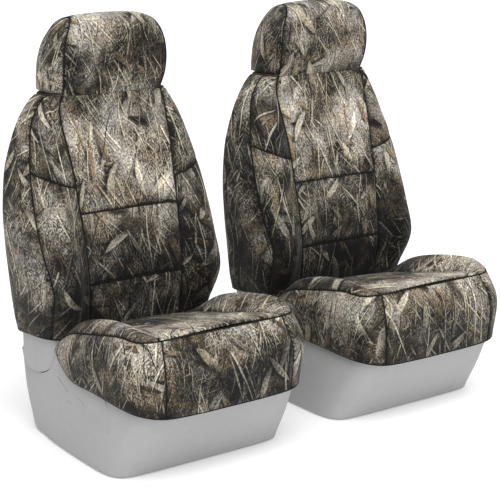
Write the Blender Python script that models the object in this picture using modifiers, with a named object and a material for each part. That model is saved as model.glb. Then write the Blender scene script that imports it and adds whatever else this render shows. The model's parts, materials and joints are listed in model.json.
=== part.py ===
"""A seat cover set on two front bucket seat forms, as separate sewn panels, forms and hardware.

Metres, +Z up, front towards -Y. The origin is on the floor under the middle of the set.
Each seat is laid out about its own middle line, then moved to its place at the end.
"""
import math

import bmesh
import bpy
from mathutils import Matrix, Vector

SEAT_SPACING = 0.743          # between the two seats' middle lines
DEPTH_SHIFT = 0.1009          # puts the middle of the set's depth on y = 0
PANEL_THICKNESS = 0.004       # face cloth, foam and lining sewn together
FORM_INSET = 0.008            # the form lies this far inside the cover's inner face
SEAM_GAP = 0.0016             # each panel stops this far short of its seam line

HINGE_Y = 0.113               # recline axis, across the seat
HINGE_Z = 0.300
AXIS = (0, HINGE_Y, HINGE_Z)
BARREL_RADIUS = 0.103         # round lower end of the back form
TROUGH_RADIUS = 0.112         # hollow of the base form that the barrel turns in
SHAFT_RADIUS = 0.012
SHAFT_HALF_LENGTH = 0.055
SHAFT_FIT = 0.0005            # all round the shaft and the bracket's stem
SHAFT_END_FIT = 0.001
BRACKET_HALF_THICKNESS = 0.005
BRACKET_HALF_WIDTH = 0.020
BRACKET_FOOT_Z = 0.130
POCKET_HEIGHT = 0.100         # of the base form's pocket for the stem, up into the hollow
SLOT_HALF_WIDTH = 0.012       # slot of the barrel round the bracket
SLOT_TOP = 0.030              # above the axis
BARREL_SPARE = 0.010          # the back form starts this far below its barrel, and is cut to it

ZIP_BOTTOM = 0.345
ZIP_TOP = 0.740
ZIP_TRAVEL_START = 0.375      # slider's middle when the cover is closed
CHAIN_HALF_WIDTH = 0.0035
CHAIN_THICKNESS = 0.002
CHAIN_FIT = 0.0004            # all round it in the slider's channel
REAR_FACE_Y = 0.2225          # just outside the rear panel's outer face
SLIDER_SIZE = (0.012, 0.005, 0.014)
LUG_SIZE = (0.002, 0.0045, 0.005)
LUG_OUT = 0.0066              # lugs' middle, behind REAR_FACE_Y
PULL_SIZE = (0.007, 0.0016, 0.034)
PIVOT_RADIUS = 0.0013
PIVOT_OUT = 0.0068            # pull's axis, behind REAR_FACE_Y

# Back cover: one row for each height, from the hem to the neck. Each point is (x, y) on the
# right half of the section: front middle, inner seam, bolster crown, gusset seam, side,
# rear seam and rear middle.
BACK_ROWS = (
    (0.300, (0, .012), (.149, .011), (.208, .010), (.250, .030), (.264, .110), (.242, .196), (0, .2135)),
    (0.345, (0, .008), (.150, .004), (.214, -.010), (.257, .012), (.274, .105), (.250, .199), (0, .2170)),
    (0.440, (0, -.002), (.152, -.007), (.221, -.052), (.270, -.020), (.289, .080), (.261, .200), (0, .218)),
    (0.535, (0, .008), (.154, .004), (.228, -.031), (.277, .017), (.298, .100), (.267, .201), (0, .218)),
    (0.630, (0, .026), (.158, .022), (.232, .004), (.277, .053), (.298, .120), (.269, .201), (0, .218)),
    (0.735, (0, .049), (.161, .046), (.230, .043), (.266, .091), (.287, .140), (.262, .198), (0, .218)),
    (0.810, (0, .069), (.166, .068), (.221, .076), (.252, .113), (.266, .153), (.245, .193), (0, .218)),
    (0.870, (0, .087), (.170, .088), (.209, .097), (.234, .132), (.243, .163), (.219, .193), (0, .219)),
    (0.912, (0, .096), (.168, .098), (.190, .106), (.207, .140), (.212, .170), (.189, .200), (0, .223)),
    (0.938, (0, .098), (.158, .100), (.168, .108), (.177, .144), (.178, .174), (.162, .208), (0, .227)),
)
LAST_ROW = len(BACK_ROWS) - 1
LOWER_SEAM_ROW = 2
UPPER_SEAM_ROW = 4
DIAGONAL_SEAM_ROWS = (4.65, 5.10)      # at the inner seam and at the gusset seam
ROUND = 12                             # u goes once round a section in twelve steps

# Headrest band, from the neck at the front over the top to the neck at the rear:
# y, z and half width of the band between its side seams.
HEADREST_BAND = (
    (.097, .946, .157), (.082, .990, .163), (.076, 1.040, .164), (.078, 1.088, .156),
    (.089, 1.126, .137), (.126, 1.143, .116), (.166, 1.129, .130), (.188, 1.086, .154),
    (.204, 1.040, .164), (.217, .990, .163), (.228, .946, .157),
)
BAND_TOP = 5
TOP_SEAM = 5.5                # between the front and rear panels, just behind the top
GUSSET_TOP = 4.6              # the gusset ends here, where it comes to a point
BAND_CROWN = 0.006
GUSSET_BULGE = 0.018

# Cushion cover: one spoke for each place round the edge, from the front middle to the rear
# end of the right side: hem, fullest point, top edge, bolster crown and inner seam.
CUSHION_SPOKES = (
    ((0, -.436, .187), (0, -.440, .300), (0, -.403, .381), (0, -.393, .381), (0, -.384, .381)),
    ((.100, -.435, .187), (.100, -.440, .300), (.098, -.402, .381), (.096, -.390, .381), (.094, -.380, .381)),
    ((.200, -.430, .190), (.204, -.434, .300), (.192, -.400, .381), (.188, -.390, .381), (.184, -.380, .380)),
    ((.250, -.397, .198), (.263, -.399, .300), (.245, -.375, .380), (.226, -.366, .388), (.190, -.362, .378)),
    ((.266, -.330, .205), (.281, -.330, .300), (.266, -.320, .387), (.234, -.315, .402), (.176, -.315, .372)),
    ((.268, -.210, .215), (.285, -.210, .300), (.267, -.210, .368), (.225, -.210, .394), (.155, -.210, .353)),
    ((.268, -.095, .222), (.282, -.095, .290), (.262, -.095, .343), (.220, -.095, .365), (.150, -.095, .331)),
    ((.260, -.018, .262), (.270, -.018, .283), (.254, -.018, .303), (.214, -.018, .312), (.148, -.016, .311)),
)
SEAM_SPOKE = 2
LAST_SPOKE = len(CUSHION_SPOKES) - 1
BOLSTER_START = 2.15          # spoke where the bolster comes to a point
CUSHION_CROWN = 0.006

# Base form below the cushion cover: its outline on the floor, one point for each spoke, and
# the spokes behind the cushion, each from the height of the hem to the inner seam.
FLOOR_OUTLINE = (
    (0, -.318), (.120, -.318), (.230, -.312), (.266, -.286), (.276, -.232), (.270, -.130),
    (.262, -.040), (.254, .030), (.242, .100), (.224, .180), (.176, .232), (0, .240),
)
REAR_SPOKES = (
    ((.258, .110, .240), (.260, .110, .270), (.255, .110, .300), (.205, .110, .305), (.150, .110, .305)),
    ((.246, .205, .205), (.248, .208, .228), (.243, .208, .242), (.205, .205, .245), (.150, .200, .245)),
    ((.200, .246, .205), (.202, .250, .228), (.198, .247, .242), (.185, .236, .245), (.140, .228, .245)),
    ((0, .247, .205), (0, .251, .228), (0, .247, .242), (0, .240, .245), (0, .232, .245)),
)
FLOOR_EDGE = 0.012            # rounding of the form's foot

# Cutters are made this large where their size doesn't show.
PAST_SEAT = 0.8
PAST_DEPTH = 0.4
CUT_DEPTH = 0.3
SHARP_ANGLE = 40

MATERIALS = {
    "camo_fabric": ((0.21, 0.18, 0.14), 0.88, 0.0),
    "form_plastic": ((0.47, 0.47, 0.48), 0.60, 0.0),
    "black_elastic": ((0.02, 0.02, 0.02), 0.85, 0.0),
    "steel": ((0.42, 0.42, 0.43), 0.40, 1.0),
    "zinc": ((0.30, 0.30, 0.31), 0.35, 1.0),
    "nylon": ((0.05, 0.05, 0.05), 0.50, 0.0),
}


# ---------------------------------------------------------------- scene and materials

def clear_scene():
    for obj in list(bpy.data.objects):
        bpy.data.objects.remove(obj)


def new_collection(name):
    collection = bpy.data.collections.new(name)
    bpy.context.scene.collection.children.link(collection)
    return collection


def make_material(name, kind):
    colour, roughness, metallic = MATERIALS[kind]
    material = bpy.data.materials.new(name)
    material.use_nodes = True
    shader = material.node_tree.nodes["Principled BSDF"]
    shader.inputs["Base Color"].default_value = (*colour, 1)
    shader.inputs["Roughness"].default_value = roughness
    shader.inputs["Metallic"].default_value = metallic
    return material


def add_object(name, mesh, kind):
    mesh.materials.append(make_material(name, kind))
    mesh.shade_smooth()
    mesh.set_sharp_from_angle(angle=math.radians(SHARP_ANGLE))
    obj = bpy.data.objects.new(name, mesh)
    PARTS.objects.link(obj)
    return obj


def add_cutter(name, mesh):
    cutter = bpy.data.objects.new(name, mesh)
    CUTTERS.objects.link(cutter)
    cutter.hide_render = True
    cutter.display_type = "WIRE"
    return cutter


def boolean(obj, cutter, operation):
    modifier = obj.modifiers.new(operation.lower(), "BOOLEAN")
    modifier.operation = operation
    modifier.object = cutter


def box_mesh(name, size, centre):
    mesh = bpy.data.meshes.new(name)
    bm = bmesh.new()
    bmesh.ops.create_cube(bm, size=1)
    bmesh.ops.scale(bm, vec=size, verts=bm.verts)
    bmesh.ops.translate(bm, vec=centre, verts=bm.verts)
    bm.to_mesh(mesh)
    bm.free()
    return mesh


def rod_mesh(name, radius, length, centre, segments):
    """A cylinder along X."""
    mesh = bpy.data.meshes.new(name)
    bm = bmesh.new()
    bmesh.ops.create_cone(bm, cap_ends=True, segments=segments, radius1=radius,
                          radius2=radius, depth=length)
    quarter_turn = Matrix.Rotation(math.pi / 2, 3, "Y")
    bmesh.ops.rotate(bm, cent=(0, 0, 0), matrix=quarter_turn, verts=bm.verts)
    bmesh.ops.translate(bm, vec=centre, verts=bm.verts)
    bm.to_mesh(mesh)
    bm.free()
    return mesh


# ---------------------------------------------------------------- surfaces

def smooth(points, t):
    """Point at t on the Catmull-Rom curve through points, straight on past its ends."""
    last = len(points) - 1
    cell = min(max(int(math.floor(t)), 0), last - 1)
    b, c = points[cell], points[cell + 1]
    a = points[cell - 1] if cell else 2 * b - c
    d = points[cell + 2] if cell + 2 <= last else 2 * c - b
    s = t - cell
    if s < 0:
        return b + s * (c - a) / 2
    if s > 1:
        return c + (s - 1) * (d - b) / 2
    return (2 * b + (c - a) * s + (2 * a - 5 * b + 4 * c - d) * s ** 2
            + (3 * b - a - 3 * c + d) * s ** 3) / 2


def mirrored(point, side):
    return Vector((point.x * side, point.y, point.z))


def back_section(row, u):
    """Point of one section; u runs from 0 round the right half and from ROUND round the left."""
    height, *half = row
    ring = [Vector((x, y, height)) for x, y in half]
    ring += [mirrored(point, -1) for point in ring[-2:0:-1]]
    cell = math.floor(u)
    near = [ring[(cell + step) % len(ring)] for step in (-1, 0, 1, 2)]
    return smooth(near, 1 + u - cell)


def back_surface(u, v):
    """Back cover; v counts the rows upwards, and below the first the cover hangs straight."""
    point = smooth([back_section(row, u) for row in BACK_ROWS], max(v, 0))
    row_height = BACK_ROWS[1][0] - BACK_ROWS[0][0]
    return point + Vector((0, 0, min(v, 0) * row_height))


def band_surface(s, t):
    """Headrest band; s runs -1 to 1 across it and t along it from the front to the rear."""
    y, z, half_width = smooth([Vector(point) for point in HEADREST_BAND], t)
    ahead = smooth([Vector(point) for point in HEADREST_BAND], t + 0.05)
    out = Vector((0, y - ahead.y, z - ahead.z)).cross(Vector((1, 0, 0))).normalized()
    return Vector((s * half_width, y, z)) - out * BAND_CROWN * (1 - s * s)


def headrest_gusset_surface(side, r, t):
    """Headrest side; r runs 0 to 1 from the front seam to the rear seam."""
    front = band_surface(side, t)
    rear = band_surface(side, 2 * BAND_TOP - t)
    bulge = GUSSET_BULGE * math.sin(math.pi * r) * (1 - (t / BAND_TOP) ** 2)
    return front.lerp(rear, r) + Vector((side * bulge, 0, 0))


def edge_point(level, k):
    """One level of the cushion's edge; k counts the spokes, negative on the left side."""
    right = [Vector(spoke[level]) for spoke in CUSHION_SPOKES]
    # a mirrored first point makes the curve meet the middle line square on
    point = smooth([mirrored(right[1], -1)] + right, abs(k) + 1)
    return mirrored(point, -1 if k < 0 else 1)


def skirt_surface(k, s):
    """Front and sides of the cushion cover; k runs round it and s from the hem to the top edge."""
    return smooth([edge_point(level, k) for level in (0, 1, 2)], s)


def bolster_surface(k, r):
    """Top of the cushion's edge, from the top edge at r = 0 to the inner seam at r = 2."""
    return smooth([edge_point(level, k) for level in (2, 3, 4)], r)


def centre_surface(w, k):
    """Middle of the cushion; w runs -1 to 1 across it."""
    right = edge_point(4, k) if k > SEAM_SPOKE else edge_point(2, SEAM_SPOKE).lerp(
        edge_point(4, SEAM_SPOKE), k - SEAM_SPOKE + 1)
    return Vector((right.x * w, right.y, right.z + CUSHION_CROWN * (1 - w * w)))


# ---------------------------------------------------------------- panels and forms

def samples(start, end, steps):
    """Values from start to end, evenly spaced."""
    return [start + (end - start) * i / steps for i in range(steps + 1)]


def panel(name, surface, u_values, v_values, inside, kind="camo_fabric"):
    """A shell over a patch of a surface. A v value may depend on u."""
    mesh = bpy.data.meshes.new(name)
    bm = bmesh.new()
    grid = []
    for v in v_values:
        grid.append([bm.verts.new(surface(u, v(u) if callable(v) else v)) for u in u_values])
    for low, high in zip(grid, grid[1:]):
        for i in range(len(u_values) - 1):
            bm.faces.new((low[i], low[i + 1], high[i + 1], high[i]))
    bm.normal_update()
    facing = sum(f.normal.dot(f.calc_center_median() - Vector(inside)) for f in bm.faces)
    if facing < 0:
        bmesh.ops.reverse_faces(bm, faces=bm.faces)
    trim_edges(bm)
    bm.to_mesh(mesh)
    bm.free()
    obj = add_object(name, mesh, kind)
    shell = obj.modifiers.new("thickness", "SOLIDIFY")
    shell.thickness = PANEL_THICKNESS
    shell.offset = 1
    return obj


def trim_edges(bm):
    """Pull the patch's border inwards by the seam gap."""
    moves = {}
    for vert in bm.verts:
        inward = Vector((0, 0, 0))
        for edge in vert.link_edges:
            if edge.is_boundary:
                face = edge.link_faces[0]
                along = (edge.verts[1].co - edge.verts[0].co).normalized()
                across = face.normal.cross(along)
                middle = (edge.verts[0].co + edge.verts[1].co) / 2
                if across.dot(face.calc_center_median() - middle) < 0:
                    across.negate()
                if inward.dot(across) <= 0.8 * inward.length:
                    inward += across
        moves[vert] = inward * SEAM_GAP
    for vert, move in moves.items():
        vert.co += move


def ring_loft(name, rings, kind, close_across=False):
    """A closed solid through rings of equal length; close_across ends it with rungs."""
    mesh = bpy.data.meshes.new(name)
    bm = bmesh.new()
    loops = [[bm.verts.new(point) for point in ring] for ring in rings]
    count = len(loops[0])
    for low, high in zip(loops, loops[1:]):
        for i in range(count):
            j = (i + 1) % count
            bm.faces.new((low[i], low[j], high[j], high[i]))
    bm.faces.new(reversed(loops[0]))
    if close_across:
        top = loops[-1]
        for i in range(count // 2):
            rung = [top[i], top[i + 1], top[-i - 1], top[-i]]
            bm.faces.new(dict.fromkeys(rung))
    else:
        bm.faces.new(loops[-1])
    bmesh.ops.recalc_face_normals(bm, faces=bm.faces)
    bm.to_mesh(mesh)
    bm.free()
    return add_object(name, mesh, kind)


def inset_ring(ring, distance):
    """The ring moved inwards, square to its own line as seen from above."""
    moved = []
    count = len(ring)
    for i, point in enumerate(ring):
        along = ring[(i + 1) % count] - ring[i - 1]
        inward = Vector((-along.y, along.x, 0)).normalized()
        moved.append(point + inward * distance)
    return moved


def lowered(ring, distance):
    return [point - Vector((0, 0, distance)) for point in ring]


def headrest_ring(t):
    """A section of the headrest, with as many points as one of the back."""
    right = [band_surface(s, t) for s in (0, 0.5, 1)]
    right += [headrest_gusset_surface(1, r, t) for r in (0.12, 0.25, 0.4, 0.6, 0.8)]
    right += [band_surface(s, 2 * BAND_TOP - t) for s in (1, 0.5, 0)]
    return right + [mirrored(point, -1) for point in right[-2:0:-1]]


def back_form(name):
    half = (0, 0.5, 1, 1.5, 2, 2.5, 3, 4, 5, 5.5, 6)
    around = half + tuple(ROUND - u for u in half[-2:0:-1])
    rings = [[back_surface(u, v) for u in around] for v in range(LAST_ROW + 1)]
    rings += [headrest_ring(t) for t in (0, 1, 2, 3, 4)]
    foot_z = HINGE_Z - BARREL_RADIUS - BARREL_SPARE
    foot = [Vector((point.x, point.y, foot_z)) for point in rings[0]]
    rings = [inset_ring(ring, FORM_INSET) for ring in [foot] + rings]
    rings[-1] = lowered(rings[-1], FORM_INSET)
    form = ring_loft(name, rings, "form_plastic")
    # below the axis, all that lies outside the barrel is cut away
    below = 2 * (BARREL_RADIUS - BARREL_SPARE) + 4 * BARREL_SPARE
    outside = box_mesh("trimmer", (PAST_SEAT - 0.1, PAST_DEPTH, below), (0, HINGE_Y, HINGE_Z - below / 2))
    trimmer = add_cutter(name + "_trimmer", outside)
    round_end = rod_mesh("barrel", BARREL_RADIUS, PAST_SEAT, AXIS, 48)
    boolean(trimmer, add_cutter(name + "_barrel", round_end), "DIFFERENCE")
    boolean(form, trimmer, "DIFFERENCE")
    slot_height = SLOT_TOP + BARREL_RADIUS + 2 * BARREL_SPARE
    slot_size = (2 * SLOT_HALF_WIDTH, CUT_DEPTH, slot_height)
    slot = box_mesh("slot", slot_size, (0, HINGE_Y, HINGE_Z + SLOT_TOP - slot_height / 2))
    boolean(form, add_cutter(name + "_slot", slot), "DIFFERENCE")
    bore_length = 2 * (SHAFT_HALF_LENGTH + SHAFT_END_FIT)
    bore = rod_mesh("bore", SHAFT_RADIUS + SHAFT_FIT, bore_length, AXIS, 24)
    boolean(form, add_cutter(name + "_bore", bore), "DIFFERENCE")


def base_form(name):
    spokes = [list(map(Vector, spoke)) for spoke in CUSHION_SPOKES + REAR_SPOKES]
    floor = [Vector((x, y, 0)) for x, y in FLOOR_OUTLINE]
    last = len(spokes) - 1
    places = [(i, 1) for i in range(last + 1)] + [(i, -1) for i in range(last - 1, 0, -1)]

    def whole(points):
        return [mirrored(points[i], side) for i, side in places]

    def level(number):
        return whole([spoke[number] for spoke in spokes])

    edge = lowered(whole(floor), -FLOOR_EDGE)
    under_hem = inset_ring(level(0), FORM_INSET)
    halfway = [a.lerp(b, 0.5) for a, b in zip(edge, under_hem)]
    rings = [inset_ring(whole(floor), FLOOR_EDGE), edge, halfway, under_hem]
    rings.append(inset_ring(level(1), FORM_INSET))
    rings.append(lowered(inset_ring(level(2), FORM_INSET), FORM_INSET))
    rings.append(lowered(level(3), FORM_INSET))
    rings.append(lowered(level(4), FORM_INSET))
    form = ring_loft(name, rings, "form_plastic", close_across=True)
    trough = rod_mesh("trough", TROUGH_RADIUS, PAST_SEAT, AXIS, 48)
    boolean(form, add_cutter(name + "_trough", trough), "DIFFERENCE")
    pocket_width = 2 * (BRACKET_HALF_THICKNESS + SHAFT_FIT)
    pocket_depth = 2 * (BRACKET_HALF_WIDTH + SHAFT_FIT)
    pocket_floor = BRACKET_FOOT_Z - SHAFT_FIT
    pocket = box_mesh("pocket", (pocket_width, pocket_depth, POCKET_HEIGHT),
                      (0, HINGE_Y, pocket_floor + POCKET_HEIGHT / 2))
    boolean(form, add_cutter(name + "_pocket", pocket), "DIFFERENCE")


def recliner_bracket(name):
    thickness = 2 * BRACKET_HALF_THICKNESS
    stem_height = HINGE_Z - BRACKET_FOOT_Z
    stem = box_mesh(name, (thickness, 2 * BRACKET_HALF_WIDTH, stem_height),
                    (0, HINGE_Y, BRACKET_FOOT_Z + stem_height / 2))
    bracket = add_object(name, stem, "steel")
    eye = rod_mesh("eye", BRACKET_HALF_WIDTH, thickness, AXIS, 32)
    boolean(bracket, add_cutter(name + "_eye", eye), "UNION")
    bore = rod_mesh("bore", SHAFT_RADIUS + SHAFT_FIT, 2 * thickness, AXIS, 24)
    boolean(bracket, add_cutter(name + "_bore", bore), "DIFFERENCE")


def recliner_shaft(name):
    add_object(name, rod_mesh(name, SHAFT_RADIUS, 2 * SHAFT_HALF_LENGTH, AXIS, 24), "steel")


# ---------------------------------------------------------------- the two covers

def cushion_cover(seat):
    inside = (0, -0.15, 0.22)
    last, seam = LAST_SPOKE, SEAM_SPOKE
    upwards = (0, 0.5, 1, 1.5, 2)
    panel(seat + "cushion_top_panel", centre_surface, samples(-1, 1, 6),
          range(seam - 1, last + 1), inside)
    panel(seat + "cushion_front_panel", skirt_surface, samples(-seam, seam, 6), upwards, inside)
    for side, word in ((-1, "left"), (1, "right")):
        round_edge = [side * k for k in (seam, 2.5, 3, 3.5, 4, 5, 6, last)]
        panel(seat + "cushion_side_" + word, skirt_surface, round_edge, upwards, inside)
        panel(seat + "cushion_bolster_" + word, bolster_surface,
              [side * BOLSTER_START] + round_edge[1:], upwards, inside)
    half_hem = (1, 2, 2.5, 3, 3.5, 4, 5, 6, last)
    whole_hem = [-k for k in reversed(half_hem)] + [0] + list(half_hem)
    panel(seat + "cushion_hem_elastic", skirt_surface, whole_hem, (-0.17, -0.03), inside,
          "black_elastic")


def back_cover(seat):
    inside = (0, 0.11, 0.6)
    low, high = DIAGONAL_SEAM_ROWS

    def diagonal(u):
        across = (min(u, ROUND - u) - 1) / 2
        return low + (high - low) * across

    front = samples(ROUND - 1, ROUND + 1, 4)
    side_rows = (0, 0.5, *range(1, LAST_ROW + 1))
    lower, upper = LOWER_SEAM_ROW, UPPER_SEAM_ROW
    panel(seat + "back_lower_panel", back_surface, front, samples(0, lower, 4), inside)
    panel(seat + "back_middle_panel", back_surface, front, range(lower, upper + 1), inside)
    panel(seat + "back_upper_panel", back_surface, front, range(upper, LAST_ROW + 1), inside)
    for word, turn in (("right", lambda u: u), ("left", lambda u: ROUND - u)):
        bolster = [turn(u) for u in (1, 1.5, 2, 2.5, 3)]
        gusset = [turn(u) for u in (3, 3.5, 4, 4.5, 5)]
        panel(seat + "bolster_lower_" + word, back_surface, bolster,
              (0, 0.5, 1, 2, 3, 4, diagonal), inside)
        panel(seat + "bolster_upper_" + word, back_surface, bolster,
              (diagonal, 6, 7, 8, LAST_ROW), inside)
        panel(seat + "back_gusset_" + word, back_surface, gusset, side_rows, inside)
    panel(seat + "back_rear_panel", back_surface, (5, 5.5, 6, 6.5, 7), side_rows, inside)
    half_hem = (1.5, 2, 2.5, 3, 4, 5, 5.5)
    whole_hem = [*half_hem, 6, *(ROUND - u for u in reversed(half_hem))]
    panel(seat + "back_hem_elastic", back_surface, whole_hem, (-0.25, -0.03), inside,
          "black_elastic")


def headrest_cover(seat):
    inside = (0, 0.16, 1.03)
    across = samples(-1, 1, 4)
    panel(seat + "headrest_front_panel", band_surface, across, (0, 1, 2, 3, 4, 5, TOP_SEAM), inside)
    panel(seat + "headrest_rear_panel", band_surface, across, (TOP_SEAM, 6, 7, 8, 9, 10), inside)
    for side, word in ((-1, "left"), (1, "right")):
        panel(seat + "headrest_gusset_" + word,
              lambda r, t, side=side: headrest_gusset_surface(side, r, t),
              samples(0, 1, 4), (0, 1, 2, 3, 4, GUSSET_TOP), inside)


def zipper(seat):
    chain_size = (2 * CHAIN_HALF_WIDTH, CHAIN_THICKNESS, ZIP_TOP - ZIP_BOTTOM)
    chain_centre = (0, REAR_FACE_Y + CHAIN_THICKNESS / 2, (ZIP_TOP + ZIP_BOTTOM) / 2)
    add_object(seat + "zipper_chain", box_mesh("chain", chain_size, chain_centre), "nylon")

    width, depth, height = SLIDER_SIZE
    body = box_mesh("slider", SLIDER_SIZE, (0, REAR_FACE_Y + depth / 2, ZIP_TRAVEL_START))
    slider = add_object(seat + "zipper_slider", body, "zinc")
    channel_size = (2 * (CHAIN_HALF_WIDTH + CHAIN_FIT), 2 * (CHAIN_THICKNESS + CHAIN_FIT), 2 * height)
    channel = box_mesh("channel", channel_size, (0, REAR_FACE_Y, ZIP_TRAVEL_START))
    boolean(slider, add_cutter(seat + "zipper_channel", channel), "DIFFERENCE")
    lug_offset = (width - LUG_SIZE[0]) / 2
    for side, word in ((-1, "left"), (1, "right")):
        lug = box_mesh("lug", LUG_SIZE, (side * lug_offset, REAR_FACE_Y + LUG_OUT, ZIP_TRAVEL_START))
        boolean(slider, add_cutter(seat + "zipper_lug_" + word, lug), "UNION")

    pivot = (0, REAR_FACE_Y + PIVOT_OUT, ZIP_TRAVEL_START)
    pull = add_object(seat + "zipper_pull", box_mesh("pull", PULL_SIZE, (0, 0, -PULL_SIZE[2] / 2)), "zinc")
    pull.location = pivot
    barrel = add_cutter(seat + "zipper_pivot", rod_mesh("pivot", PIVOT_RADIUS, PULL_SIZE[0], (0, 0, 0), 16))
    barrel.location = pivot
    boolean(pull, barrel, "UNION")


def place_seat(seat, centre_x):
    """Move everything made for this seat from its own middle line to its place in the set."""
    shift = Matrix.Translation((centre_x, DEPTH_SHIFT, 0))
    for obj in list(PARTS.objects) + list(CUTTERS.objects):
        if not obj.name.startswith(seat):
            continue
        if obj.location.length > 0:
            obj.location += shift.translation
        else:
            obj.data.transform(shift)


def set_origin(name, point):
    """Put an object's origin on its joint axis without moving the object."""
    obj = bpy.data.objects[name]
    move = Vector(point) - obj.location
    obj.data.transform(Matrix.Translation(-move))
    obj.location = point


clear_scene()
PARTS = new_collection("seat_cover_set")
CUTTERS = new_collection("cutters")
for seat_name, seat_x in (("left_", -SEAT_SPACING / 2), ("right_", SEAT_SPACING / 2)):
    base_form(seat_name + "base_form")
    recliner_bracket(seat_name + "recliner_bracket")
    recliner_shaft(seat_name + "recliner_shaft")
    back_form(seat_name + "back_form")
    cushion_cover(seat_name)
    back_cover(seat_name)
    headrest_cover(seat_name)
    zipper(seat_name)
    place_seat(seat_name, seat_x)
    for moving in ("back_form", "recliner_shaft"):
        set_origin(seat_name + moving, (seat_x, HINGE_Y + DEPTH_SHIFT, HINGE_Z))
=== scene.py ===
"""Looks of the seat cover set: padded print panels, piping, zippers and the pale seat forms.

Everything is laid out about one seat's own middle line, made once, and copied to both seats.
Metres, +Z up, front towards -Y.
"""
import json
import math

import bmesh
import bpy
import numpy as np
from mathutils import Matrix, Vector, noise


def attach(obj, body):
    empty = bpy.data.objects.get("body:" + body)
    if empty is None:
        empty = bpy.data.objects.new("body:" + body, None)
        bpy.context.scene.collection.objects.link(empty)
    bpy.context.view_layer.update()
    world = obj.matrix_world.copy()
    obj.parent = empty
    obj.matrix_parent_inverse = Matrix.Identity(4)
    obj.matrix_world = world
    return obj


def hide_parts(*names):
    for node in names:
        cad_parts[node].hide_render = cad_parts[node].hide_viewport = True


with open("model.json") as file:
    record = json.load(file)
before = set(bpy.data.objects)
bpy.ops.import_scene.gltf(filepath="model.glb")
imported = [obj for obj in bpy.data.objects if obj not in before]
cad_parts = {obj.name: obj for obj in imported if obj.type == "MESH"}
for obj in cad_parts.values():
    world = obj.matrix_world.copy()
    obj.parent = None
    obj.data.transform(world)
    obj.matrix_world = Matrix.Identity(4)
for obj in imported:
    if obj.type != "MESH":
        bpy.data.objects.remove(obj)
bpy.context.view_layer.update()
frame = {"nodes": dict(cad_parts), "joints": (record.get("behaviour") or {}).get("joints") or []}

# ---------------------------------------------------------------- places, from the frame

JOINTS = {joint["name"]: joint for joint in frame["joints"]}
HINGE = JOINTS["left_recline"]["pos_m"]
HINGE_Z = HINGE[2]
HINGE_Y = 0.113                              # in the seat's own frame
DEPTH_SHIFT = HINGE[1] - HINGE_Y
SEAT_X = {side: JOINTS[side + "_recline"]["pos_m"][0] for side in ("left", "right")}
FORM_INSET = 0.008
BARREL_RADIUS = 0.1095
TROUGH_RADIUS = 0.112
PAST_SEAT = 0.8                              # a cutter's length, past both sides of a seat
POCKET = (0.011, 0.041, 0.100)               # in the base, round the recliner bracket
POCKET_MIDDLE = 0.1795
BRACKET_SLOT = (0.024, 0.300, 0.150)         # in the back, clear of the bracket
SLOT_TOP = HINGE_Z + 0.030
SHAFT_BORE = (0.0125, 0.112)                 # radius and length
FOOT_ROUND = 0.014                           # radius of the base's lower edge
WALL_BULGE = 0.004
SHARP_ANGLE = math.radians(38)

# ---------------------------------------------------------------- the covers' shape
# The same control points as the design. Back cover rows: height, then (x, y) of the front
# middle, inner seam, bolster crown, gusset seam, side, rear seam and rear middle.

BACK_ROWS = (
    (0.300, (0, .012), (.149, .011), (.208, .010), (.250, .030), (.264, .110), (.242, .196), (0, .2135)),
    (0.345, (0, .008), (.150, .004), (.214, -.010), (.257, .012), (.274, .105), (.250, .199), (0, .2170)),
    (0.440, (0, -.002), (.152, -.007), (.221, -.052), (.270, -.020), (.289, .080), (.261, .200), (0, .218)),
    (0.535, (0, .008), (.154, .004), (.228, -.031), (.277, .017), (.298, .100), (.267, .201), (0, .218)),
    (0.630, (0, .026), (.158, .022), (.232, .004), (.277, .053), (.298, .120), (.269, .201), (0, .218)),
    (0.735, (0, .049), (.161, .046), (.230, .043), (.266, .091), (.287, .140), (.262, .198), (0, .218)),
    (0.810, (0, .069), (.166, .068), (.221, .076), (.252, .113), (.266, .153), (.245, .193), (0, .218)),
    (0.870, (0, .087), (.170, .088), (.209, .097), (.234, .132), (.243, .163), (.219, .193), (0, .219)),
    (0.912, (0, .096), (.168, .098), (.190, .106), (.207, .140), (.212, .170), (.189, .200), (0, .223)),
    (0.938, (0, .098), (.158, .100), (.168, .108), (.177, .144), (.178, .174), (.162, .208), (0, .227)),
)
TOP_ROW = len(BACK_ROWS) - 1
LOWER_SEAM = 2
UPPER_SEAM = 4
DIAGONAL_SEAM = (4.65, 5.10)
RING = 12                                    # u goes once round a section in twelve steps

# Headrest band: y, z and half width, from the neck in front over the top to the neck behind.
HEADREST_BAND = np.array((
    (.097, .946, .157), (.082, .990, .163), (.076, 1.040, .164), (.078, 1.088, .156),
    (.089, 1.126, .137), (.126, 1.143, .116), (.166, 1.129, .130), (.188, 1.086, .154),
    (.204, 1.040, .164), (.217, .990, .163), (.228, .946, .157),
))
BAND_TOP = 5
BAND_END = 10
HEADREST_SEAM = 5.5                          # between the front and rear panels
GUSSET_TOP = 4.75
NECK_LAP = 0.16                              # of t, that the front panel reaches down the neck
BAND_CROWN = 0.006
CROWN_START = 0.6                            # of t, over which the crown grows from the neck
GUSSET_BULGE = 0.018

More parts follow.
